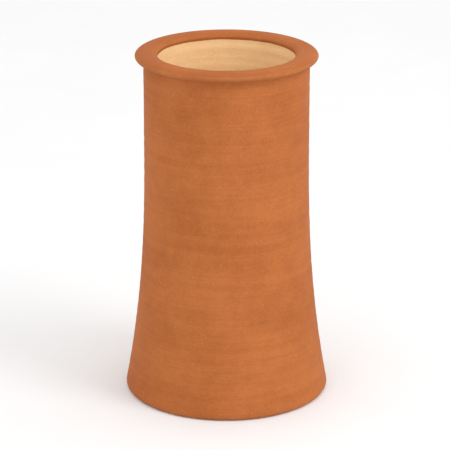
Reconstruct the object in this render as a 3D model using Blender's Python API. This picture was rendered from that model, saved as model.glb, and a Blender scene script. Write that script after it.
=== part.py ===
"""A plain roll-top chimney pot of fired clay, turned in one piece.

The pot is one thick-walled tube, open at both ends. A flattened roll stands
out round the top of a straight neck, and below the neck the wall sweeps out to
a wide foot. The pot stands on its foot at z = 0, with its axis on +Z.
"""

import math

import bmesh
import bpy

# Driving sizes, in metres.
POT_HEIGHT = 0.450
THROAT_RADIUS = 0.0875  # inside of the neck, where the smoke leaves
CLAY_WALL = 0.0178  # measured level, from the top of the neck to the foot
FOOT_RADIUS = 0.1325  # outside of the foot at floor level, before its edge is rounded

NECK_LENGTH = 0.120  # from the rim down to where the wall starts to sweep out
FLARE_POWER = 2.4  # how late the wall sweeps out: 1 is a plain cone

ROLL_OVERHANG = 0.0107  # how far the roll stands out past the neck
ROLL_DEPTH = 0.011  # from the underside of the roll to the rim
ROLL_LAND = 0.006  # width of the flat ring on the rim that a cowl sits on
ROLL_FILLET = 0.003  # hollow rounding between the roll and the neck

FOOT_OUTER_ROUND = 0.006  # radius of the rounded outer edge of the foot
FOOT_INNER_ROUND = 0.003  # radius of the rounded inner edge of the foot

# How finely the curves are faceted.
TURNS = 72
WALL_STEPS = 16
LIP_STEPS = 5
FILLET_STEPS = 3
FOOT_STEPS = 3

SMOOTH_ANGLE = math.radians(40)  # edges sharper than this stay crisp
FLOOR_TOLERANCE = 0.0001

FLARE_HEIGHT = POT_HEIGHT - NECK_LENGTH
NECK_RADIUS = THROAT_RADIUS + CLAY_WALL
ROLL_RADIUS = NECK_RADIUS + ROLL_OVERHANG
ROLL_MIDDLE = POT_HEIGHT - ROLL_DEPTH / 2
ROLL_UNDERSIDE = POT_HEIGHT - ROLL_DEPTH
LAND_CENTRE = (THROAT_RADIUS + ROLL_RADIUS) / 2

# Linear colours: the slip on the outside and the paler clay of the lining.
SLIP_COLOUR = (0.527, 0.168, 0.054, 1.0)
LINING_COLOUR = (0.799, 0.445, 0.209, 1.0)
CLAY_ROUGHNESS = 0.85
SLIP_SLOT, LINING_SLOT = 0, 1


def clear_scene():
    for obj in list(bpy.data.objects):
        bpy.data.objects.remove(obj, do_unlink=True)


def fired_clay(name, colour):
    material = bpy.data.materials.new(name)
    material.use_nodes = True
    shader = material.node_tree.nodes["Principled BSDF"]
    shader.inputs["Base Color"].default_value = colour
    shader.inputs["Roughness"].default_value = CLAY_ROUGHNESS
    shader.inputs["Metallic"].default_value = 0.0
    material.diffuse_color = colour
    return material


def outer_radius(level):
    """Outside of the wall: straight down the neck, then sweeping out to the foot."""
    below_neck = max(0.0, 1.0 - level / FLARE_HEIGHT)
    return NECK_RADIUS + (FOOT_RADIUS - NECK_RADIUS) * below_neck**FLARE_POWER


def inner_radius(level):
    return outer_radius(level) - CLAY_WALL


def wall_lean(level):
    """Angle by which the wall leans outwards at a level."""
    below_neck = max(0.0, 1.0 - level / FLARE_HEIGHT)
    sweep = (FOOT_RADIUS - NECK_RADIUS) * FLARE_POWER / FLARE_HEIGHT
    return math.atan(sweep * below_neck ** (FLARE_POWER - 1.0))


def oval_arc(centre, reach, rise, start, end, steps):
    """Points (radius, level) along an arc of an oval, from one angle to another."""
    radius, level = centre
    angles = [start + (end - start) * step / steps for step in range(steps + 1)]
    return [(radius + reach * math.cos(a), level + rise * math.sin(a)) for a in angles]


def wall_line(radius_at, start, end):
    """Points along one side of the wall, from one level to another."""
    levels = [start + (end - start) * step / WALL_STEPS for step in range(WALL_STEPS + 1)]
    return [(radius_at(level), level) for level in levels]


def roll_outside():
    """From the flat land over the outside of the roll, and back under it to the neck."""
    land_edge = LAND_CENTRE + ROLL_LAND / 2
    fillet_edge = NECK_RADIUS + ROLL_FILLET
    half_depth = ROLL_DEPTH / 2
    upper = oval_arc(
        (land_edge, ROLL_MIDDLE), ROLL_RADIUS - land_edge, half_depth, math.pi / 2, 0.0, LIP_STEPS
    )
    lower = oval_arc(
        (fillet_edge, ROLL_MIDDLE), ROLL_RADIUS - fillet_edge, half_depth, 0.0, -math.pi / 2, LIP_STEPS
    )
    fillet = oval_arc(
        (fillet_edge, ROLL_UNDERSIDE - ROLL_FILLET),
        ROLL_FILLET,
        ROLL_FILLET,
        math.pi / 2,
        math.pi,
        FILLET_STEPS,
    )
    return upper + lower[1:] + fillet[1:]


def foot_edge(radius_at, rounding, side):
    """Rounded edge of the foot: side is +1 on the outside of the wall and -1 on the inside.

    The points run from where the edge meets the wall to where it meets the floor.
    """
    lean = side * wall_lean(rounding)
    meeting_level = rounding * (1.0 + math.sin(lean))
    centre_radius = radius_at(meeting_level) - side * rounding * math.cos(lean)
    return oval_arc(
        (centre_radius, rounding), side * rounding, rounding, lean, -math.pi / 2, FOOT_STEPS
    )


def lip_inside():
    """From the top of the throat over the inner half of the roll to the flat land."""
    land_edge = LAND_CENTRE - ROLL_LAND / 2
    return oval_arc(
        (land_edge, ROLL_MIDDLE),
        land_edge - THROAT_RADIUS,
        ROLL_DEPTH / 2,
        math.pi,
        math.pi / 2,
        LIP_STEPS,
    )


def pot_outline():
    """The closed outline that is turned about the axis: down the outside, up the inside."""
    roll = roll_outside()
    outer_foot = foot_edge(outer_radius, FOOT_OUTER_ROUND, 1)
    inner_foot = foot_edge(inner_radius, FOOT_INNER_ROUND, -1)[::-1]
    lip = lip_inside()
    outer_wall = wall_line(outer_radius, roll[-1][1], outer_foot[0][1])
    inner_wall = wall_line(inner_radius, inner_foot[-1][1], lip[0][1])
    return roll + outer_wall[1:] + outer_foot[1:] + inner_foot + inner_wall[1:] + lip[1:]


def is_bare_clay(face):
    """The wall of the throat and the flat of the foot are bare; the rest wears the slip."""
    centre = face.calc_center_median()
    faces_axis = face.normal.x * centre.x + face.normal.y * centre.y < 0.0
    on_floor = centre.z < FLOOR_TOLERANCE
    return on_floor or (faces_axis and centre.z < ROLL_MIDDLE)


def turned_mesh(name, outline):
    """Spins a closed outline once round the Z axis."""
    mesh = bpy.data.meshes.new(name)
    shape = bmesh.new()
    corners = [shape.verts.new((radius, 0.0, level)) for radius, level in outline]
    edges = [shape.edges.new((corners[i - 1], corners[i])) for i in range(len(corners))]
    bmesh.ops.spin(
        shape,
        geom=corners + edges,
        cent=(0.0, 0.0, 0.0),
        axis=(0.0, 0.0, 1.0),
        angle=2.0 * math.pi,
        steps=TURNS,
        use_merge=True,
    )
    bmesh.ops.recalc_face_normals(shape, faces=shape.faces)
    for face in shape.faces:
        face.material_index = LINING_SLOT if is_bare_clay(face) else SLIP_SLOT
    shape.to_mesh(mesh)
    shape.free()
    mesh.shade_smooth()
    mesh.set_sharp_from_angle(angle=SMOOTH_ANGLE)
    return mesh


def chimney_pot():
    mesh = turned_mesh("chimney_pot", pot_outline())
    mesh.materials.append(fired_clay("terracotta_slip", SLIP_COLOUR))
    mesh.materials.append(fired_clay("bare_clay_lining", LINING_COLOUR))
    pot = bpy.data.objects.new("chimney_pot", mesh)
    bpy.context.scene.collection.objects.link(pot)
    return pot


def main():
    clear_scene()
    chimney_pot()


if __name__ == "__main__":
    main()
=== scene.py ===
"""Dresses a plain roll-top chimney pot of fired clay and stands it on a pale studio floor.

The pot is one turned piece. Its body is a buff clay, left bare down the throat and under the
foot, and its outside and its roll wear a thin terracotta slip. The pot is clean: it shows only
the faint rings of turning, the mottle of firing, grit and pinholes, and slip drawn thin on edges.
Its colour also holds painted shade: the slip is painted darker over the roll, against the sky
light its top catches, and the pinholes are painted dark.
"""

import math

import bpy
import numpy as np
from bpy.props import FloatProperty, FloatVectorProperty, IntProperty, PointerProperty
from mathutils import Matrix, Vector


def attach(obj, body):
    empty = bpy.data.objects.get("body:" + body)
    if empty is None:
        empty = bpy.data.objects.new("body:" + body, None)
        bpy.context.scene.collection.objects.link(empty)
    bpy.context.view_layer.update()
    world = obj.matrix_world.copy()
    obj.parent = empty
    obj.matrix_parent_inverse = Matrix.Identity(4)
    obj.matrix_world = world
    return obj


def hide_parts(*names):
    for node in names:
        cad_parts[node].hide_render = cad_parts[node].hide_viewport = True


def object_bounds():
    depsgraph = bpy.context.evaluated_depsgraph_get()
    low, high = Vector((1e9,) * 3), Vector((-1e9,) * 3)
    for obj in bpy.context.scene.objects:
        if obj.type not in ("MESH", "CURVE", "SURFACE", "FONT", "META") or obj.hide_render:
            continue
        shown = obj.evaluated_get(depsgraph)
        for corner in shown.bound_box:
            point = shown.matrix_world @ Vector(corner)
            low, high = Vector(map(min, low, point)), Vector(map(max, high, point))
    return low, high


bl_info = {
    "name": "Chimney Pot",
    "version": (1, 0, 0),
    "blender": (4, 5, 0),
    "location": "3D View > Sidebar > Chimney Pot",
    "description": "Turns and finishes a roll-top chimney pot and sets its studio stage",
    "category": "Object",
}

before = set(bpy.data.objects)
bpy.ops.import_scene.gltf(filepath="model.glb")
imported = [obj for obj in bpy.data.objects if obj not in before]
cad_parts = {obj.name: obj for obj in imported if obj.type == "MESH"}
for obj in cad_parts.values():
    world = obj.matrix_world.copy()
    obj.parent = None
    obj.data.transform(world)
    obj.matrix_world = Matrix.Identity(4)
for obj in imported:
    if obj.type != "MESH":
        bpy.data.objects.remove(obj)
CAD_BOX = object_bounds()

NODE = "chimney_pot"

MM = 0.001
FULL_TURN = 2.0 * math.pi
QUARTER_TURN = math.pi / 2.0

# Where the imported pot's radii are read, as shares of its height.
NECK_SHARE = 0.85  # a level in the straight of the neck
ROLL_SHARE = 0.96  # the roll is above this level

# How finely the pot is turned.
COLUMNS = 192
WALL_ROWS = 212
ROLL_ROWS = 18
FILLET_ROWS = 6
FOOT_ROWS = 9
FLAT_ROWS = 5
COLUMN_TURNS = np.arange(COLUMNS) * FULL_TURN / COLUMNS  # how far round each column stands

# No side of the finished pot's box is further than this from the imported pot's.
BOX_TOLERANCE = 1.0 * MM


def outermost_radius(corners, edges, level):
    """Radius of a solid at a level, where its outermost edge crosses that level."""
    start, end = corners[edges[:, 0]], corners[edges[:, 1]]
    crosses = (start[:, 2] < level) != (end[:, 2] < level)
    start, end = start[crosses], end[crosses]
    share = (level - start[:, 2]) / (end[:, 2] - start[:, 2])
    places = start + share[:, None] * (end - start)
    return float(np.hypot(places[:, 0], places[:, 1]).max())


def measured_pot():
    """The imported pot's own sizes, in metres, read from its solid."""
    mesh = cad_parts[NODE].data
    corners = np.array([vertex.co for vertex in mesh.vertices])
    edges = np.array([edge.vertices for edge in mesh.edges])
    radius, level = np.hypot(corners[:, 0], corners[:, 1]), corners[:, 2]
    height = float(level.max())
    return {
        "height": height,
        "throat": float(radius.min()),
        "neck": outermost_radius(corners, edges, NECK_SHARE * height),
        "roll": float(radius[level > ROLL_SHARE * height].max()),
        "widest": min(abs(side) for corner in CAD_BOX for side in corner[:2]),
    }


POT = measured_pot()


def length(name, description, default, precision=4):
    """A property that holds a length in metres."""
    return FloatProperty(
        name=name, description=description, default=default, unit="LENGTH", precision=precision
    )


def colour(name, description, default):
    """A property that holds a linear colour."""
    return FloatVectorProperty(
        name=name, description=description, default=default, subtype="COLOR", min=0.0, max=1.0
    )


def strength(name, description, default):
    """A property that holds a share, where 1 is the whole effect."""
    return FloatProperty(
        name=name, description=description, default=default, subtype="FACTOR", min=0.0, max=1.0
    )


class PotSizes(bpy.types.PropertyGroup):
    """Sizes of the turned pot"""

    height: length("Height", "From the floor to the rim", POT["height"])
    throat_radius: length("Throat Radius", "Inside of the neck", POT["throat"])
    neck_radius: length("Neck Radius", "Outside of the neck", POT["neck"])
    roll_radius: length("Roll Radius", "Outside of the roll round the rim", POT["roll"])
    widest_radius: length("Widest Radius", "The finished pot is nowhere wider", POT["widest"])
    foot_radius: length("Foot Radius", "Outside of the foot, before its edge is rounded", 0.1325)
    neck_length: length("Neck Length", "From the rim to where the wall starts to sweep out", 0.120)
    flare_power: FloatProperty(
        name="Flare Power", description="How late the wall sweeps out: 1 is a cone", default=2.4
    )
    roll_depth: length("Roll Depth", "From the underside of the roll to the rim", 0.011)
    roll_land: length("Roll Land", "Width of the flat ring on top of the roll", 0.006)
    roll_fillet: length("Roll Fillet", "Radius of the hollow under the roll", 0.003)
    foot_outer_round: length("Foot Outer Round", "Radius of the foot's outer edge", 0.006)
    foot_inner_round: length("Foot Inner Round", "Radius of the foot's inner edge", 0.003)
    outer_rings: length("Outer Rings", "Depth of the rings of turning outside", 0.00012, 5)
    inner_rings: length("Inner Rings", "Depth of the rings of turning inside", 0.00025, 5)
    out_of_round: length("Out Of Round", "How far firing drew the rim out of a circle", 0.0003, 5)
    seed: IntProperty(name="Seed", description="Which pot of the batch this is", default=7, min=0)


class ClayFinish(bpy.types.PropertyGroup):
    """Colours and marks of the fired clay"""

    slip: colour("Slip", "Terracotta slip on the outside and the roll", (0.432, 0.129, 0.034))
    clay: colour("Clay", "Bare buff clay in the throat and under the foot", (0.890, 0.610, 0.325))
    # Painted shade: the pinholes are painted this dark colour for the shade inside them.
    painted_pinhole_shade: colour("Painted Pinhole Shade", "Dark bottoms of the pinholes", (0.130, 0.038, 0.009))
    slip_line: length("Slip Line", "How far below the rim the slip ends in the throat", 0.0083)
    # Painted shade: the slip is painted darker from the land this far down over the roll, against
    # the sky light that its top catches.
    dip_depth: length("Dip Depth", "How far the second dip of slip comes down over the roll", 0.029)
    slip_waver: length("Slip Waver", "How far the edge of the slip wanders", 0.0005)
    grain_size: length("Grain Size", "Width of the grains on the surface", 0.0011)
    grit_spacing: length("Grit Spacing", "From one speck of grit to the next", 0.0045)
    ring_spacing: length("Ring Spacing", "From one mark of turning to the next", 0.008)
    patch_size: length("Patch Size", "Width of the patches left by firing", 0.085)
    grit: strength("Grit", "How pale or dark the grit shows", 0.20)
    pinholes: strength("Pinholes", "How dark the pinholes show", 0.55)
    # How much darker the painted shade makes the slip over the roll.
    painted_roll_shade: strength("Painted Roll Shade", "How much deeper the slip is where it is dipped twice", 0.30)
    thin_edges: strength("Thin Edges", "How far the clay shows where the slip is thin", 0.07)
    slip_roughness: strength("Slip Roughness", "Roughness of the slip", 0.77)
    clay_roughness: strength("Clay Roughness", "Roughness of the bare clay", 0.90)
    gloss: strength("Gloss", "Strength of the clay's weak reflections", 0.14)


class StudioStage(bpy.types.PropertyGroup):
    """Camera, floor and light"""

    camera_place: FloatVectorProperty(
        name="Camera Place",
        description="Where the camera stands",
        default=(-0.002, -3.0, 1.2454),
        subtype="TRANSLATION",
        precision=4,
    )
    camera_pitch: FloatProperty(
        name="Camera Pitch",
        description="How far the camera looks down",
        default=math.radians(18.90),
        subtype="ANGLE",
    )
    camera_lens: FloatProperty(
        name="Camera Lens", description="Focal length", default=197.05, unit="CAMERA"
    )
    floor: colour("Floor", "Pale matt floor", (0.83, 0.83, 0.83))
    floor_radius: length("Floor Radius", "From the pot to the edge of the floor", 12.0)
    room_light: FloatProperty(
        name="Room Light", description="Strength of the white room all round", default=1.09
    )
    key_light: FloatProperty(
        name="Key Light", description="Power of the large soft light", default=23.0, unit="POWER"
    )
    key_place: FloatVectorProperty(
        name="Key Place",
        description="Where the large soft light hangs",
        default=(1.75, -1.05, 2.05),
        subtype="TRANSLATION",
    )
    fill_light: FloatProperty(
        name="Fill Light", description="Power of the weak light", default=3.5, unit="POWER"
    )
    fill_place: FloatVectorProperty(
        name="Fill Place",
        description="Where the weak light hangs",
        default=(-1.00, -1.70, 2.30),
        subtype="TRANSLATION",
    )
    lamp_width: length("Lamp Width", "Width of both lamps", 1.3)


# The pot's outline, as points (radius, level) down the outside and up the inside.


def below_neck(sizes, level):
    """Share of the flare that is above a level: 0 in the neck and 1 at the floor."""
    return np.maximum(0.0, 1.0 - np.asarray(level) / (sizes.height - sizes.neck_length))


def outer_radius(sizes, level):
    """Outside of the wall: straight down the neck, then sweeping out to the foot."""
    reach = sizes.foot_radius - sizes.neck_radius
    return sizes.neck_radius + reach * below_neck(sizes, level) ** sizes.flare_power


def inner_radius(sizes, level):
    """Inside of the wall, which has one thickness all the way down, measured level."""
    return outer_radius(sizes, level) - (sizes.neck_radius - sizes.throat_radius)


def wall_lean(sizes, level):
    """Angle by which the wall leans outwards at a level."""
    reach = sizes.foot_radius - sizes.neck_radius
    sweep = reach * sizes.flare_power / (sizes.height - sizes.neck_length)
    return math.atan(sweep * below_neck(sizes, level) ** (sizes.flare_power - 1.0))


def oval_arc(centre, reach, rise, start, end, rows):
    """Points along an arc of an oval, from one angle to another."""
    angles = np.linspace(start, end, rows + 1)
    return np.column_stack((centre[0] + reach * np.cos(angles), centre[1] + rise * np.sin(angles)))


def wall_line(sizes, radius_at, start, end):
    """Points along one side of the wall, from one level to another."""
    levels = np.linspace(start, end, WALL_ROWS + 1)
    return np.column_stack((radius_at(sizes, levels), levels))


def flat_ring(start, end):
    """Points straight across a flat ring, from one point to another."""
    return np.linspace(start, end, FLAT_ROWS + 1)


def foot_edge(sizes, radius_at, rounding, side):
    """Rounded edge of the foot, from the wall to the floor: side is 1 outside and -1 inside."""
    lean = side * wall_lean(sizes, rounding)
    meeting_level = rounding * (1.0 + math.sin(lean))
    centre_radius = float(radius_at(sizes, meeting_level)) - side * rounding * math.cos(lean)
    centre = (centre_radius, rounding)
    return oval_arc(centre, side * rounding, rounding, lean, -QUARTER_TURN, FOOT_ROWS)


def land_edge(sizes, side):
    """Radius of the flat land's edge: side is 1 for the outer edge and -1 for the inner."""
    return (sizes.throat_radius + sizes.roll_radius + side * sizes.roll_land) / 2.0


def roll_outside(sizes):
    """Over the outside of the roll and under it to the neck, in three arcs."""
    half_depth = sizes.roll_depth / 2.0
    middle = sizes.height - half_depth
    land = land_edge(sizes, 1)
    hollow = sizes.roll_fillet
    hollow_radius = sizes.neck_radius + hollow
    hollow_level = sizes.height - sizes.roll_depth - hollow
    top_reach = sizes.roll_radius - land
    under_reach = sizes.roll_radius - hollow_radius
    return [
        oval_arc((land, middle), top_reach, half_depth, QUARTER_TURN, 0.0, ROLL_ROWS),
        oval_arc((hollow_radius, middle), under_reach, half_depth, 0.0, -QUARTER_TURN, ROLL_ROWS),
        oval_arc((hollow_radius, hollow_level), hollow, hollow, QUARTER_TURN, math.pi, FILLET_ROWS),
    ]


def lip_inside(sizes):
    """From the top of the throat over the inside of the roll to the flat land."""
    half_depth = sizes.roll_depth / 2.0
    land = land_edge(sizes, -1)
    centre = (land, sizes.height - half_depth)
    reach = land - sizes.throat_radius
    return oval_arc(centre, reach, half_depth, math.pi, QUARTER_TURN, ROLL_ROWS)


def pot_outline(sizes):
    """The closed outline that is turned, from the outer edge of the land round to the land."""
    roll = roll_outside(sizes)
    lip = lip_inside(sizes)
    outer_foot = foot_edge(sizes, outer_radius, sizes.foot_outer_round, 1)
    inner_foot = foot_edge(sizes, inner_radius, sizes.foot_inner_round, -1)[::-1]
    outer_wall = wall_line(sizes, outer_radius, roll[-1][-1, 1], outer_foot[0, 1])
    inner_wall = wall_line(sizes, inner_radius, inner_foot[-1, 1], lip[0, 1])
    underside = flat_ring(outer_foot[-1], inner_foot[0])
    land = flat_ring(lip[-1], roll[0][0])
    stretches = roll + [outer_wall, outer_foot, underside, inner_foot, inner_wall, lip, land]
    return np.vstack([stretch[:-1] for stretch in stretches])


class OutlineFacts:
    """What the relief and the marks need to know of each row of the outline.

    out and up are the two parts of the direction that points away from the clay. bend is one
    over the radius of the curve, above 0 on rounded edges and below 0 in hollows.
    """

    def __init__(self, outline):
        coming = outline - np.roll(outline, 1, axis=0)
        going = np.roll(outline, -1, axis=0) - outline
        came = np.linalg.norm(coming, axis=1)
        goes = np.linalg.norm(going, axis=1)
        across = coming + going
        across /= np.linalg.norm(across, axis=1)[:, None]
        turning = coming[:, 1] * going[:, 0] - coming[:, 0] * going[:, 1]
        self.radius, self.level = outline.T
        self.out, self.up = -across[:, 1], across[:, 0]
        self.along = np.concatenate(([0.0], np.cumsum(goes)[:-1]))
        self.whole = float(goes.sum())
        self.bend = np.arcsin(turning / (came * goes)) / ((came + goes) / 2.0)


# Relief that turning and firing leave in the clay.

# The rings, and the broad swells under them, are sums of waves between two lengths. The lobes
# are the most times that a wave comes and goes round the pot.
RING_WAVES = {"waves": 16, "lobes": 1, "shortest": 12.0 * MM, "longest": 34.0 * MM}
SWELL_WAVES = {"waves": 8, "lobes": 3, "shortest": 80.0 * MM, "longest": 300.0 * MM}
SWELL_SHARE = 0.6  # depth of the broad swells, as a share of the depth of the rings
WIPED_SHARE = 0.3  # depth of the relief on the wiped top of the roll, as a share of the wall's
FADE_HEIGHT = 20.0 * MM  # the relief fades out over this height, so the foot stands flat
OVAL_SIDES = 2
SQUINT_SIDES = 3
SQUINT_SHARE = 0.5  # depth of the three-sided squint, as a share of the oval's
FOOT_SHARE = 0.25  # out-of-round of the foot, as a share of the rim's


def uneven_waves(random, facts, turn, waves, lobes, shortest, longest):
    """A smooth uneven field, mostly -1 to 1, that closes along the outline and round the pot."""
    field = np.zeros((len(facts.along), len(turn)))
    for _ in range(waves):
        lobe = random.integers(-lobes, lobes + 1)
        repeats = random.integers(round(facts.whole / longest), round(facts.whole / shortest) + 1)
        path = FULL_TURN * (repeats * facts.along / facts.whole + random.uniform())
        field += np.cos(path[:, None] + lobe * turn[None, :])
    return field / math.sqrt(waves)


def turning_relief(random, sizes, facts, turn):
    """How far each point stands off the true outline."""
    rings = uneven_waves(random, facts, turn, **RING_WAVES)
    swells = uneven_waves(random, facts, turn, **SWELL_WAVES)
    depth = np.where(facts.out < 0.0, sizes.inner_rings, sizes.outer_rings)
    facing_up = np.clip(facts.up, 0.0, 1.0)
    facing_down = np.clip(-facts.up, 0.0, 1.0)
    depth = depth * (1.0 - (1.0 - WIPED_SHARE) * facing_up) * (1.0 - facing_down)
    depth *= np.clip(facts.level / FADE_HEIGHT, 0.0, 1.0) ** 2
    return (rings + SWELL_SHARE * swells) * depth[:, None]


def firing_pull(random, sizes, facts, turn):
    """How far firing drew each point inwards from a true circle, most at the rim."""
    oval = np.cos(OVAL_SIDES * turn + random.uniform(0.0, FULL_TURN))
    squint = SQUINT_SHARE * np.cos(SQUINT_SIDES * turn + random.uniform(0.0, FULL_TURN))
    inwards = (oval + squint - 1.0 - SQUINT_SHARE) / 2.0
    pull = FOOT_SHARE + (1.0 - FOOT_SHARE) * facts.level / sizes.height
    return sizes.out_of_round * pull[:, None] * inwards[None, :]


def slip_reach(sizes, finish, facts):
    """Signed distance along the outline to the nearer edge of the slip: above 0 is slipped."""
    foot_row = int(np.argmin(facts.level))
    foot_end = facts.along[foot_row]
    line_level = sizes.height - finish.slip_line
    throat_end = np.interp(line_level, facts.level[foot_row:], facts.along[foot_row:])
    slipped = (facts.along < foot_end) | (facts.along > throat_end)
    from_throat = np.abs(facts.along - throat_end)
    from_throat = np.minimum(from_throat, facts.whole - from_throat)
    reach = np.minimum(np.abs(facts.along - foot_end), from_throat)
    return np.where(slipped, reach, -reach)


def put_attribute(mesh, name, rows):
    """Stores one value for each row of the outline on every point of that row."""
    values = np.repeat(np.asarray(rows, np.float32), COLUMNS)
    mesh.attributes.new(name, "FLOAT", "POINT").data.foreach_set("value", values)


def ring_faces(rows):
    """Faces between each row of points and the next, closed both ways."""
    row, column = np.meshgrid(np.arange(rows), np.arange(COLUMNS), indexing="ij")
    next_row = (row + 1) % rows * COLUMNS
    next_column = (column + 1) % COLUMNS
    row = row * COLUMNS
    corners = (row + column, next_row + column, next_row + next_column, row + next_column)
    return np.stack(corners, axis=-1).reshape(-1, 4)


def turned_pot(sizes, finish):
    """The pot's mesh, with the facts that its material needs stored on its points."""
    facts = OutlineFacts(pot_outline(sizes))
    random = np.random.default_rng(sizes.seed)
    height = turning_relief(random, sizes, facts, COLUMN_TURNS)
    pull = firing_pull(random, sizes, facts, COLUMN_TURNS)
    radius = facts.radius[:, None] + height * facts.out[:, None] + pull
    radius = np.minimum(radius, sizes.widest_radius)
    level = facts.level[:, None] + height * facts.up[:, None]
    level = np.minimum(level, sizes.height)
    x, y = radius * np.cos(COLUMN_TURNS), radius * np.sin(COLUMN_TURNS)
    points = np.stack((x, y, level), axis=-1)

    mesh = bpy.data.meshes.new("fired_pot")
    mesh.from_pydata(points.reshape(-1, 3).tolist(), [], ring_faces(len(level)).tolist())
    mesh.shade_smooth()
    put_attribute(mesh, "bend", facts.bend)
    put_attribute(mesh, "slip_reach", slip_reach(sizes, finish, facts))
    put_attribute(mesh, "from_land", np.minimum(facts.along, facts.whole - facts.along))
    return mesh


# Helpers that build shader nodes.

NOISE_RANGE = (0.3, 0.7)  # Blender's noise seldom leaves this range
SPECK_CORE = 0.5  # a speck is whole out to this share of its radius
SMALLEST_SPECK = 0.35  # radius of the smallest speck, as a share of the largest
FAINTEST_SPECK = 0.35  # strength of the faintest speck, as a share of the strongest
MIX_FACTOR, MIX_FIRST, MIX_SECOND, MIX_RESULT = 0, 6, 7, 2  # a Mix node's sockets for colours


def plug(tree, socket, value):
    """Links a socket to another one, or sets its plain value."""
    if isinstance(value, bpy.types.NodeSocket):
        tree.links.new(value, socket)
    else:
        socket.default_value = value


def calc(tree, operation, *values):
    """What a Math node makes of its values."""
    node = tree.nodes.new("ShaderNodeMath")
    node.operation = operation
    for socket, value in zip(node.inputs, values):
        plug(tree, socket, value)
    return node.outputs[0]


def between(tree, share, first, second):
    """The value that lies a share of the way from the first to the second."""
    return calc(tree, "MULTIPLY_ADD", calc(tree, "SUBTRACT", second, first), share, first)


def weighted(tree, start, marks, weights):
    """A start value, and to it each named mark times its weight."""
    total = start
    for label, weight in weights.items():
        total = calc(tree, "MULTIPLY_ADD", marks[label], weight, total)
    return total


def uneven(tree, marks, weights, middle=0.5):
    """A middle value, moved by how far each named mark is from a half, times its weight."""
    return weighted(tree, middle - sum(weights.values()) / 2.0, marks, weights)


def blend(tree, factor, first, second):
    """Mixes two colours."""
    node = tree.nodes.new("ShaderNodeMix")
    node.data_type = "RGBA"
    plug(tree, node.inputs[MIX_FACTOR], factor)
    plug(tree, node.inputs[MIX_FIRST], first)
    plug(tree, node.inputs[MIX_SECOND], second)
    return node.outputs[MIX_RESULT]


def ramp(tree, value, low, high):
    """Carries a value smoothly from 0 at the low end to 1 at the high end, and holds it there."""
    node = tree.nodes.new("ShaderNodeMapRange")
    node.interpolation_type = "SMOOTHSTEP"
    for socket, part in zip(node.inputs, (value, low, high)):
        plug(tree, socket, part)
    return node.outputs[0]


def cloud(tree, position, size, detail):
    """Soft noise, 0 to 1, with lumps about as wide as the size."""
    node = tree.nodes.new("ShaderNodeTexNoise")
    plug(tree, node.inputs["Vector"], position)
    plug(tree, node.inputs["Scale"], calc(tree, "DIVIDE", 1.0, size))
    plug(tree, node.inputs["Detail"], detail)
    return ramp(tree, node.outputs["Fac"], *NOISE_RANGE)


def specks(tree, position, spacing, share, radius):
    """Specks of many sizes on a share of the scattered points.

    The radius is that of the largest speck, in spacings.
    """
    node = tree.nodes.new("ShaderNodeTexVoronoi")
    plug(tree, node.inputs["Vector"], position)
    plug(tree, node.inputs["Scale"], calc(tree, "DIVIDE", 1.0, spacing))
    chance = tree.nodes.new("ShaderNodeSeparateColor")
    tree.links.new(node.outputs["Color"], chance.inputs[0])
    keeping, sizing, showing = chance.outputs
    edge = between(tree, sizing, radius * SMALLEST_SPECK, radius)
    inside = ramp(tree, node.outputs["Distance"], edge, calc(tree, "MULTIPLY", edge, SPECK_CORE))
    kept = calc(tree, "LESS_THAN", keeping, share)
    shown = between(tree, showing, FAINTEST_SPECK, 1.0)
    return calc(tree, "MULTIPLY", inside, calc(tree, "MULTIPLY", kept, shown))


def split(tree, vector):
    """The three parts of a vector."""
    node = tree.nodes.new("ShaderNodeSeparateXYZ")
    tree.links.new(vector, node.inputs[0])
    return node.outputs


def joined(tree, *parts):
    """A vector made of its three parts."""
    node = tree.nodes.new("ShaderNodeCombineXYZ")
    for socket, part in zip(node.inputs, parts):
        plug(tree, socket, part)
    return node.outputs[0]


def attribute(tree, name):
    """A number that the mesh stores on its points."""
    node = tree.nodes.new("ShaderNodeAttribute")
    node.attribute_name = name
    return node.outputs["Fac"]


def object_position(tree):
    """Where a point of the surface lies in its object's own frame."""
    return tree.nodes.new("ShaderNodeTexCoord").outputs["Object"]


# Shared effects, each a node group that is made once.


class Effect:
    """A new node group, with a position and named numbers going in and named values coming out."""

    def __init__(self, name, numbers, values):
        self.tree = bpy.data.node_groups.new(name, "ShaderNodeTree")
        sockets = self.tree.interface
        sockets.new_socket("Position", in_out="INPUT", socket_type="NodeSocketVector")
        for label, default in numbers.items():
            socket = sockets.new_socket(label, in_out="INPUT", socket_type="NodeSocketFloat")
            socket.default_value = default
        for label in values:
            sockets.new_socket(label, in_out="OUTPUT", socket_type="NodeSocketFloat")
        self.given = self.tree.nodes.new("NodeGroupInput").outputs
        self.results = self.tree.nodes.new("NodeGroupOutput").inputs

    def give(self, label, value):
        """Sends a value out of the group under a name."""
        self.tree.links.new(value, self.results[label])


COARSE_GRAIN = 3.3  # width of the coarse grains, in fine ones
COARSE_SHARE = 0.4  # how much of the grain is coarse
GRIT_SPECKS = {"share": 0.60, "radius": 0.21}
HOLE_SPECKS = {"share": 0.30, "radius": 0.10}
HOLE_SPACING = 1.8  # from one pinhole to the next, in spacings of the grit


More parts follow.
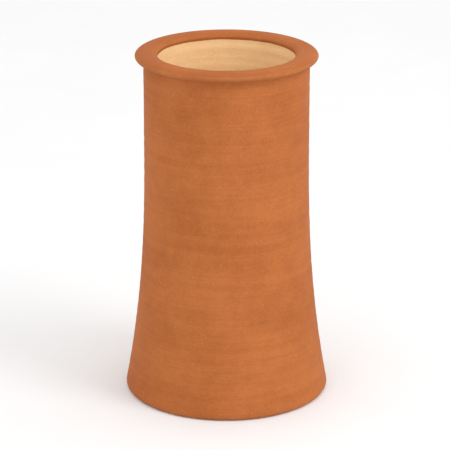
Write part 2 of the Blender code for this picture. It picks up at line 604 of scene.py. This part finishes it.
def clay_grain(name):
    """Fine sandy grain, scattered grit and pinholes."""
    numbers = {"Grain Size": 1.0 * MM, "Grit Spacing": 4.0 * MM}
    effect = Effect(name, numbers, ["Grain", "Grit", "Pinholes"])
    tree, position = effect.tree, effect.given["Position"]
    grain_size, grit_spacing = effect.given["Grain Size"], effect.given["Grit Spacing"]
    fine = cloud(tree, position, grain_size, detail=3.0)
    coarse = cloud(tree, position, calc(tree, "MULTIPLY", grain_size, COARSE_GRAIN), detail=2.0)
    effect.give("Grain", between(tree, COARSE_SHARE, fine, coarse))
    effect.give("Grit", specks(tree, position, grit_spacing, **GRIT_SPECKS))
    hole_spacing = calc(tree, "MULTIPLY", grit_spacing, HOLE_SPACING)
    effect.give("Pinholes", specks(tree, position, hole_spacing, **HOLE_SPECKS))
    return effect.tree


LINES_PER_BAND = 7.0


def turning_marks(name):
    """Bands and lines left by the rib as the pot turned, which fade and return round the pot."""
    numbers = {"From Land": 0.0, "Spacing": 8.0 * MM, "Arc": 150.0 * MM}
    effect = Effect(name, numbers, ["Bands", "Lines"])
    tree, given = effect.tree, effect.given
    across, deep, _ = split(tree, given["Position"])
    across = calc(tree, "DIVIDE", across, given["Arc"])
    deep = calc(tree, "DIVIDE", deep, given["Arc"])
    bands = calc(tree, "DIVIDE", given["From Land"], given["Spacing"])
    lines = calc(tree, "MULTIPLY", bands, LINES_PER_BAND)
    effect.give("Bands", cloud(tree, joined(tree, across, deep, bands), size=1.0, detail=2.0))
    effect.give("Lines", cloud(tree, joined(tree, across, deep, lines), size=1.0, detail=2.0))
    return effect.tree


CLOUDS_PER_PATCH = 5.0


def firing_mottle(name):
    """Broad patches where the fire ran hotter or cooler, and smaller clouds within them."""
    effect = Effect(name, {"Patch Size": 90.0 * MM}, ["Patches", "Clouds"])
    tree, position = effect.tree, effect.given["Position"]
    patch_size = effect.given["Patch Size"]
    effect.give("Patches", cloud(tree, position, patch_size, detail=1.5))
    cloud_size = calc(tree, "DIVIDE", patch_size, CLOUDS_PER_PATCH)
    effect.give("Clouds", cloud(tree, position, cloud_size, detail=3.0))
    return effect.tree


THINNEST_SMEAR = 0.4  # how thin the slip draws between two smears, as a share of within one


def thin_edges(name):
    """Where slip has drawn thin on rounded edges: the bend is one over the edge's radius."""
    numbers = {
        "Bend": 0.0,
        "Dull Radius": 16.0 * MM,
        "Sharp Radius": 3.0 * MM,
        "Smear Size": 45.0 * MM,
    }
    effect = Effect(name, numbers, ["Thin"])
    tree, given = effect.tree, effect.given
    dull = calc(tree, "DIVIDE", 1.0, given["Dull Radius"])
    sharp = calc(tree, "DIVIDE", 1.0, given["Sharp Radius"])
    edge = ramp(tree, given["Bend"], dull, sharp)
    smears = cloud(tree, given["Position"], given["Smear Size"], detail=3.0)
    smears = between(tree, smears, THINNEST_SMEAR, 1.0)
    effect.give("Thin", calc(tree, "MULTIPLY", edge, smears))
    return effect.tree


SLIP_EDGE = 0.3 * MM  # the slip feathers out over this far to either side of its edge
PAINTED_SHADE_EDGE = 2.0 * MM  # and the painted shade over the roll fades in over this far


def slip_cover(name):
    """Where the slip covers the clay, and the painted shade that darkens the slip over the roll."""
    numbers = {
        "Reach": 0.0,
        "From Land": 0.0,
        "Dip Depth": 30.0 * MM,
        "Waver": 1.0 * MM,
        "Waver Size": 22.0 * MM,
    }
    effect = Effect(name, numbers, ["Cover", "Painted Roll Shade"])
    tree, given = effect.tree, effect.given
    wander = cloud(tree, given["Position"], given["Waver Size"], detail=3.0)
    wander = calc(tree, "SUBTRACT", wander, 0.5)
    reach = calc(tree, "MULTIPLY_ADD", wander, given["Waver"], given["Reach"])
    effect.give("Cover", ramp(tree, reach, -SLIP_EDGE, SLIP_EDGE))
    # The painted shade over the roll, fading out this far from the land.
    shade_start = calc(tree, "ADD", given["Dip Depth"], PAINTED_SHADE_EDGE)
    shade_end = calc(tree, "SUBTRACT", given["Dip Depth"], PAINTED_SHADE_EDGE)
    effect.give("Painted Roll Shade", ramp(tree, given["From Land"], shade_start, shade_end))
    return effect.tree


EFFECTS = {
    "Clay Grain": clay_grain,
    "Turning Marks": turning_marks,
    "Firing Mottle": firing_mottle,
    "Thin Edges": thin_edges,
    "Slip Cover": slip_cover,
}


def placed(tree, name, position, **numbers):
    """Places a shared effect in a material with its own numbers, and gives its marks by name."""
    node = tree.nodes.new("ShaderNodeGroup")
    node.node_tree = bpy.data.node_groups.get(name) or EFFECTS[name](name)
    plug(tree, node.inputs["Position"], position)
    for label, value in numbers.items():
        plug(tree, node.inputs[label.replace("_", " ").title()], value)
    return {mark.name: mark for mark in node.outputs}


# Materials.

# Darkest and palest tone of each finish, as shares of its red, green and blue.
SLIP_TONES = (0.87, 0.82, 0.78), (1.12, 1.18, 1.24)
CLAY_TONES = (0.95, 0.92, 0.89), (1.04, 1.07, 1.10)
FLOOR_TONES = (0.985, 0.985, 0.985), (1.015, 1.015, 1.015)

# How far each mark of the clay moves its tone, its roughness and its surface.
CLAY_TONE_WEIGHTS = {"Patches": 0.45, "Clouds": 0.30, "Bands": 0.25, "Lines": 0.20, "Grain": 0.70}
CLAY_ROUGHNESS_WEIGHTS = {"Grain": 0.15, "Clouds": 0.10}
CLAY_HEIGHTS = {
    "Grain": 0.16 * MM,
    "Grit": 0.12 * MM,
    "Pinholes": -0.50 * MM,
    "Bands": 0.10 * MM,
    "Lines": 0.05 * MM,
    "Cover": 0.12 * MM,
}
GRIT_ON_CLAY = 2.7  # grit shows this many times as strongly on bare clay as through slip
THIN_ROUGHNESS = 0.10  # the clay shows through thin slip as this much rougher

FLOOR_TONE_WEIGHTS = {"Patches": 0.5, "Clouds": 0.3, "Grain": 0.2}
FLOOR_PATCH = 600.0 * MM
FLOOR_GRAIN = 2.0 * MM
FLOOR_ROUGHNESS = 0.9
FLOOR_GLOSS = 0.2


def scaled(base, shares):
    """A colour with each of its channels scaled."""
    return tuple(min(1.0, channel * share) for channel, share in zip(base, shares)) + (1.0,)


def toned(tree, tone, base, tones):
    """A base colour that varies between its darkest and its palest tone."""
    return blend(tree, tone, scaled(base, tones[0]), scaled(base, tones[1]))


def full(base):
    """A colour with an alpha of 1."""
    return tuple(base) + (1.0,)


def new_material(name, plain, roughness, gloss):
    """A material with plain values, which its nodes then vary over the surface."""
    material = bpy.data.materials.new(name)
    material.use_nodes = True
    material.diffuse_color = full(plain)
    shader = material.node_tree.nodes["Principled BSDF"]
    shader.inputs["Base Color"].default_value = full(plain)
    shader.inputs["Roughness"].default_value = roughness
    shader.inputs["Metallic"].default_value = 0.0
    shader.inputs["Specular IOR Level"].default_value = gloss
    return material, material.node_tree, shader.inputs


def clay_marks(tree, finish):
    """Every mark that turning, dipping and firing left on the pot, by name."""
    position = object_position(tree)
    from_land = attribute(tree, "from_land")
    marks = placed(
        tree, "Clay Grain", position, grain_size=finish.grain_size, grit_spacing=finish.grit_spacing
    )
    marks |= placed(
        tree, "Turning Marks", position, from_land=from_land, spacing=finish.ring_spacing
    )
    marks |= placed(tree, "Firing Mottle", position, patch_size=finish.patch_size)
    marks |= placed(tree, "Thin Edges", position, bend=attribute(tree, "bend"))
    marks |= placed(
        tree,
        "Slip Cover",
        position,
        reach=attribute(tree, "slip_reach"),
        from_land=from_land,
        dip_depth=finish.dip_depth,
        waver=finish.slip_waver,
    )
    return marks


def slip_colour(tree, finish, marks, tone):
    """Slip, with painted shade over the roll, and the clay showing at grit and thin edges."""
    # Painted shade: the slip's tone drops over the roll.
    tone = weighted(tree, tone, marks, {"Painted Roll Shade": -finish.painted_roll_shade})
    slip = toned(tree, tone, finish.slip, SLIP_TONES)
    grit = calc(tree, "MULTIPLY", marks["Grit"], finish.grit)
    slip = blend(tree, grit, slip, full(finish.clay))
    thin = calc(tree, "MULTIPLY", marks["Thin"], finish.thin_edges)
    return blend(tree, thin, slip, full(finish.clay))


def clay_colour(tree, finish, marks, tone):
    """Bare buff clay with darker grit."""
    clay = toned(tree, tone, finish.clay, CLAY_TONES)
    grit = calc(tree, "MULTIPLY", marks["Grit"], finish.grit * GRIT_ON_CLAY)
    return blend(tree, grit, clay, full(finish.slip))


def fired_clay(finish):
    """Terracotta slip over buff clay: the slip ends in the throat and at the foot."""
    material, tree, surface = new_material(
        "fired_clay", finish.slip, finish.slip_roughness, finish.gloss
    )
    marks = clay_marks(tree, finish)
    tone = uneven(tree, marks, CLAY_TONE_WEIGHTS)
    slip = slip_colour(tree, finish, marks, tone)
    clay = clay_colour(tree, finish, marks, tone)
    fired = blend(tree, marks["Cover"], clay, slip)
    # Painted shade: the pinholes are painted dark for the shade inside them.
    holes = calc(tree, "MULTIPLY", marks["Pinholes"], finish.pinholes)
    tree.links.new(blend(tree, holes, fired, full(finish.painted_pinhole_shade)), surface["Base Color"])

    rough = uneven(tree, marks, CLAY_ROUGHNESS_WEIGHTS, middle=finish.clay_roughness)
    smoother = finish.slip_roughness - finish.clay_roughness
    rough = weighted(tree, rough, marks, {"Cover": smoother, "Thin": THIN_ROUGHNESS})
    tree.links.new(rough, surface["Roughness"])

    bump = tree.nodes.new("ShaderNodeBump")
    bump.inputs["Distance"].default_value = 1.0
    tree.links.new(weighted(tree, 0.0, marks, CLAY_HEIGHTS), bump.inputs["Height"])
    tree.links.new(bump.outputs[0], surface["Normal"])
    return material


def pale_floor(stage):
    """A matt white floor with the faintest cloudiness and grain."""
    material, tree, surface = new_material("pale_floor", stage.floor, FLOOR_ROUGHNESS, FLOOR_GLOSS)
    position = object_position(tree)
    marks = placed(tree, "Firing Mottle", position, patch_size=FLOOR_PATCH)
    marks |= placed(tree, "Clay Grain", position, grain_size=FLOOR_GRAIN)
    tone = uneven(tree, marks, FLOOR_TONE_WEIGHTS)
    tree.links.new(toned(tree, tone, stage.floor, FLOOR_TONES), surface["Base Color"])
    return material


# Pieces, stage and panel.


def linked(name, data):
    """A new object in the scene."""
    made = bpy.data.objects.new(name, data)
    bpy.context.scene.collection.objects.link(made)
    return made


def check_box(piece):
    """Stops if the finished pot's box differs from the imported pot's."""
    corners = np.array([vertex.co for vertex in piece.data.vertices])
    found = np.array((corners.min(axis=0), corners.max(axis=0)))
    off = np.abs(found - np.array(CAD_BOX)).max()
    if off > BOX_TOLERANCE:
        raise RuntimeError(f"the pot is {off / MM:.2f} mm off the packed pot's box")


class CHIMNEYPOT_OT_turn_pot(bpy.types.Operator):
    """Turns the pot, gives it its clay and slip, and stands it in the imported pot's place"""

    bl_idname = "chimney_pot.turn_pot"
    bl_label = "Turn the Pot"

    def execute(self, context):
        sizes = context.scene.chimney_pot_sizes
        finish = context.scene.chimney_pot_finish
        pot = linked("fired_pot", turned_pot(sizes, finish))
        pot.data.materials.append(fired_clay(finish))
        check_box(pot)
        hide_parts(NODE)
        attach(pot, "root")
        return {"FINISHED"}


class CHIMNEYPOT_OT_set_stage(bpy.types.Operator):
    """Lays the pale floor, hangs the soft light and places the camera"""

    bl_idname = "chimney_pot.set_stage"
    bl_label = "Set the Stage"

    def execute(self, context):
        stage = context.scene.chimney_pot_stage
        self.lay_floor(stage)
        self.light_room(context.scene, stage)
        self.hang_lamp("key", stage.key_place, stage.key_light, stage.lamp_width)
        self.hang_lamp("fill", stage.fill_place, stage.fill_light, stage.lamp_width)
        self.place_camera(context.scene, stage)
        context.scene.view_settings.view_transform = "Standard"
        return {"FINISHED"}

    def lay_floor(self, stage):
        circle = np.column_stack((np.cos(COLUMN_TURNS), np.sin(COLUMN_TURNS), np.zeros(COLUMNS)))
        edge = stage.floor_radius * circle
        mesh = bpy.data.meshes.new("floor")
        mesh.from_pydata(edge.tolist(), [], [list(range(COLUMNS))])
        mesh.materials.append(pale_floor(stage))
        linked("floor", mesh)

    def light_room(self, scene, stage):
        scene.world = bpy.data.worlds.new("white_room")
        scene.world.use_nodes = True
        background = scene.world.node_tree.nodes["Background"]
        background.inputs["Color"].default_value = (1.0, 1.0, 1.0, 1.0)
        background.inputs["Strength"].default_value = stage.room_light

    def hang_lamp(self, name, place, power, width):
        light = bpy.data.lights.new(name, "AREA")
        light.shape = "DISK"
        light.size = width
        light.energy = power
        lamp = linked(name, light)
        lamp.location = place
        pot_middle = (Vector(CAD_BOX[0]) + Vector(CAD_BOX[1])) / 2.0
        lamp.rotation_euler = (pot_middle - lamp.location).to_track_quat("-Z", "Y").to_euler()

    def place_camera(self, scene, stage):
        camera = bpy.data.cameras.new("camera")
        camera.lens = stage.camera_lens
        scene.camera = linked("camera", camera)
        scene.camera.location = stage.camera_place
        scene.camera.rotation_euler = (QUARTER_TURN - stage.camera_pitch, 0.0, 0.0)


class CHIMNEYPOT_PT_sidebar(bpy.types.Panel):
    """Sizes, finish and stage of the pot, and the steps that make them"""

    bl_idname = "CHIMNEYPOT_PT_sidebar"
    bl_label = "Chimney Pot"
    bl_space_type = "VIEW_3D"
    bl_region_type = "UI"
    bl_category = "Chimney Pot"

    def draw(self, context):
        scene = context.scene
        for group in (scene.chimney_pot_sizes, scene.chimney_pot_finish, scene.chimney_pot_stage):
            box = self.layout.box()
            for name in group.__annotations__:
                box.prop(group, name)
        self.layout.operator(CHIMNEYPOT_OT_turn_pot.bl_idname)
        self.layout.operator(CHIMNEYPOT_OT_set_stage.bl_idname)


CLASSES = (
    PotSizes,
    ClayFinish,
    StudioStage,
    CHIMNEYPOT_OT_turn_pot,
    CHIMNEYPOT_OT_set_stage,
    CHIMNEYPOT_PT_sidebar,
)


def register():
    for made in CLASSES:
        bpy.utils.register_class(made)
    bpy.types.Scene.chimney_pot_sizes = PointerProperty(type=PotSizes)
    bpy.types.Scene.chimney_pot_finish = PointerProperty(type=ClayFinish)
    bpy.types.Scene.chimney_pot_stage = PointerProperty(type=StudioStage)


def unregister():
    del bpy.types.Scene.chimney_pot_stage
    del bpy.types.Scene.chimney_pot_finish
    del bpy.types.Scene.chimney_pot_sizes
    for made in reversed(CLASSES):
        bpy.utils.unregister_class(made)


def main():
    register()
    bpy.ops.chimney_pot.turn_pot()
    bpy.ops.chimney_pot.set_stage()


if __name__ == "__main__":
    main()
